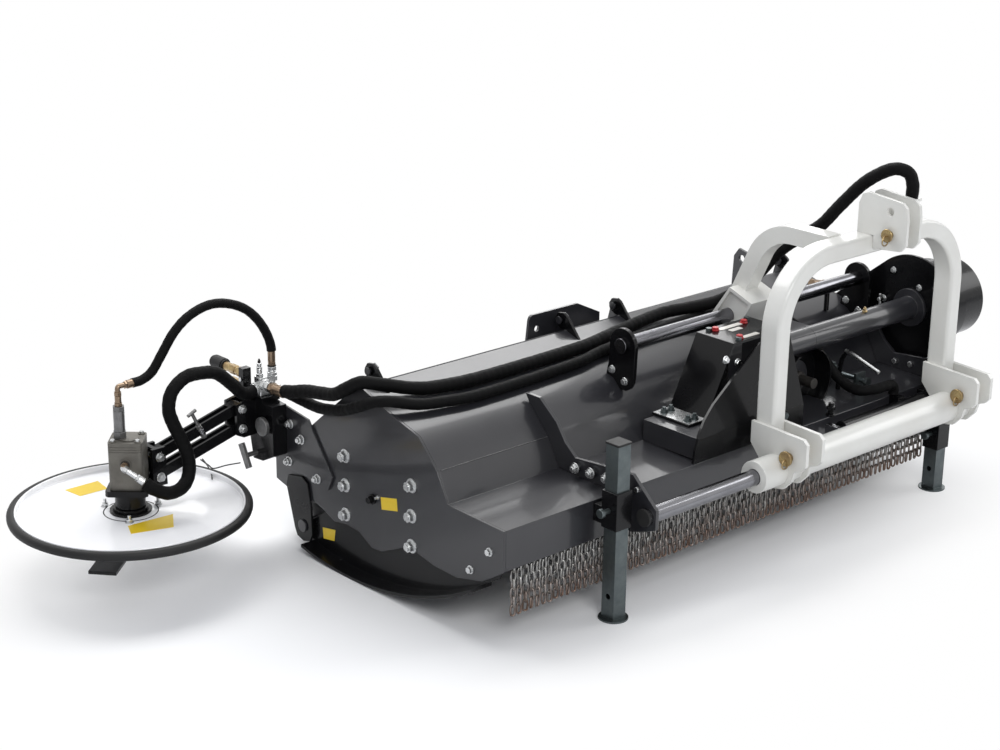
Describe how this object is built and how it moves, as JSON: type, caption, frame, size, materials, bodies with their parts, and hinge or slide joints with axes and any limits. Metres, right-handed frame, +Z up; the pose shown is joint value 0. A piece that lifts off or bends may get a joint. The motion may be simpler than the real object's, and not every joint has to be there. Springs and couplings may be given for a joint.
{
  "type": "tractor-mounted flail mulcher with side disc",
  "caption": "Wide flail mulcher with a sliding three point hitch, belt side drive, chain curtain, curved skids, parking legs and a swing-out guard disc.",
  "frame": {"origin": "bottom centre of the bounding box, on the ground", "axes": "+X along the machine's width towards the belt side, -Y towards the tractor, +Z up"},
  "size_m": [3.1379, 1.737, 1.1995],
  "materials": {
    "housing_grey": "satin",
    "black_paint": "gloss",
    "hitch_white": "gloss",
    "zinc": "zinc plated",
    "chrome_rod": "polished",
    "yellow_zinc": "yellow zinc",
    "cast_grey": "as cast",
    "worn_steel": "worn and rusty",
    "disc_white": "gloss",
    "black_rubber": "matte"
  },
  "bodies": {
    "machine": {"housing_shell": "housing_grey", "near_side_plate": "housing_grey", "far_side_plate": "housing_grey", "side_nuts": "zinc", "skids": "black_paint", "rail_brackets": "black_paint", "bracket_bolts": "zinc", "front_rail": "chrome_rod", "leg_sleeves": "black_paint", "leg_pins": "zinc", "upper_rail": "chrome_rod", "upper_rail_brackets": "black_paint", "gearbox_plinth": "housing_grey", "gearbox_stand": "black_paint", "gearbox_gusset": "black_paint", "gearbox_case": "cast_grey", "gearbox_bolts": "zinc", "pto_shield": "black_paint", "drive_tube": "housing_grey", "belt_guard_plate": "black_paint", "belt_cover": "black_paint", "drive_belts": "black_rubber", "belt_tensioner": "zinc", "shift_cylinder": "black_paint", "hinge_ears": "black_paint", "roller_brackets": "black_paint", "arm_plate": "housing_grey", "arm_carrier": "black_paint", "valve_block": "zinc", "arm_hoses": "black_rubber", "feed_hose": "black_rubber", "shift_hose": "black_rubber"},
    "hitch": {"hitch_beam": "hitch_white", "hitch_hoop": "hitch_white", "lower_clevises": "hitch_white", "top_clevis": "hitch_white", "lower_pins": "yellow_zinc", "top_pin": "yellow_zinc", "hitch_strut": "hitch_white", "shift_rod": "chrome_rod"},
    "rotor": {"rotor_drum": "worn_steel", "rotor_lugs": "black_paint", "lower_pulley": "cast_grey"},
    "cross_drive": {"cross_shaft": "chrome_rod"},
    "pto": {"pto_shaft": "chrome_rod"},
    "front_flail_row": {"front_flails": "worn_steel"},
    "rear_flail_row": {"rear_flails": "worn_steel"},
    "curtain": {"chain_curtain": "worn_steel"},
    "hood": {"rear_hood": "housing_grey"},
    "roller": {"rear_roller": "housing_grey"},
    "leg_near": {"near_leg": "zinc"},
    "leg_far": {"far_leg": "zinc"},
    "arm_upper": {"upper_arm": "black_paint"},
    "arm_lower": {"lower_arm": "black_paint"},
    "head": {"disc_head": "black_paint", "disc_motor": "cast_grey"},
    "disc": {"guard_disc": "disc_white"},
    "blade": {"cutting_blade": "black_paint"},
    "knob": {"turn_knob": "zinc"},
    "handle": {"clamp_handle": "zinc"}
  },
  "joints": [
    {"name": "hitch_side_shift", "type": "slide", "parent": "machine", "child": "hitch", "axis": [1, 0, 0], "range_m": [-0.4, 0.01], "deforming": ["feed_hose"]},
    {"name": "rotor_spin", "type": "hinge", "parent": "machine", "child": "rotor", "pos_m": [-0.691, -0.0645, 0.276], "axis": [1, 0, 0], "continuous": true},
    {"name": "cross_shaft_spin", "type": "hinge", "parent": "machine", "child": "cross_drive", "pos_m": [-0.691, -0.4815, 0.58], "axis": [1, 0, 0], "continuous": true},
    {"name": "pto_spin", "type": "hinge", "parent": "machine", "child": "pto", "pos_m": [0.759, -0.6215, 0.44], "axis": [0, 1, 0], "continuous": true},
    {"name": "front_flail_swing", "type": "hinge", "parent": "rotor", "child": "front_flail_row", "pos_m": [-0.691, -0.1795, 0.276], "axis": [1, 0, 0], "range_deg": [-120, 4]},
    {"name": "rear_flail_swing", "type": "hinge", "parent": "rotor", "child": "rear_flail_row", "pos_m": [-0.691, 0.0505, 0.276], "axis": [1, 0, 0], "range_deg": [-4, 120]},
    {"name": "chain_curtain_swing", "type": "hinge", "parent": "machine", "child": "curtain", "pos_m": [-0.691, -0.607, 0.325], "axis": [1, 0, 0], "range_deg": [0, 36]},
    {"name": "rear_hood_open", "type": "hinge", "parent": "machine", "child": "hood", "pos_m": [-0.691, 0.0465, 0.642], "axis": [1, 0, 0], "range_deg": [0, 60]},
    {"name": "rear_roller_spin", "type": "hinge", "parent": "machine", "child": "roller", "pos_m": [-0.691, 0.3035, 0.076], "axis": [1, 0, 0], "continuous": true},
    {"name": "near_leg_slide", "type": "slide", "parent": "machine", "child": "leg_near", "axis": [0, 0, 1], "range_m": [-0.1, 0.25]},
    {"name": "far_leg_slide", "type": "slide", "parent": "machine", "child": "leg_far", "axis": [0, 0, 1], "range_m": [-0.08, 0.015]},
    {"name": "disc_arm_upper", "type": "hinge", "parent": "machine", "child": "arm_upper", "pos_m": [-0.806, -0.6215, 0.446], "axis": [0, 1, 0], "range_deg": [-12, 12], "deforming": ["arm_hoses"]},
    {"name": "disc_arm_lower", "type": "hinge", "parent": "machine", "child": "arm_lower", "pos_m": [-0.806, -0.6215, 0.381], "axis": [0, 1, 0], "range_deg": [-12, 12]},
    {"name": "disc_head_level", "type": "hinge", "parent": "arm_upper", "child": "head", "pos_m": [-1.111, -0.6215, 0.363], "axis": [0, 1, 0], "range_deg": [-12, 12]},
    {"name": "guard_disc_spin", "type": "hinge", "parent": "head", "child": "disc", "pos_m": [-1.2, 0.4995, 0.2], "axis": [0, 0, 1], "continuous": true},
    {"name": "blade_spin", "type": "hinge", "parent": "head", "child": "blade", "pos_m": [-1.2, 0.4995, 0.2], "axis": [0, 0, 1], "continuous": true},
    {"name": "knob_turn", "type": "hinge", "parent": "machine", "child": "knob", "pos_m": [-0.691, 0.4095, 0.395], "axis": [1, 0, 0], "continuous": true},
    {"name": "clamp_handle_turn", "type": "hinge", "parent": "machine", "child": "handle", "pos_m": [-0.691, 0.4685, 0.287], "axis": [1, 0, 0], "continuous": true}
  ],
  "couplings": [
    {"joint": "cross_shaft_spin", "follows": "rotor_spin", "ratio": 1.08},
    {"joint": "pto_spin", "follows": "rotor_spin", "ratio": 0.36},
    {"joint": "disc_arm_lower", "follows": "disc_arm_upper", "ratio": 1},
    {"joint": "disc_head_level", "follows": "disc_arm_upper", "ratio": -1}
  ]
}
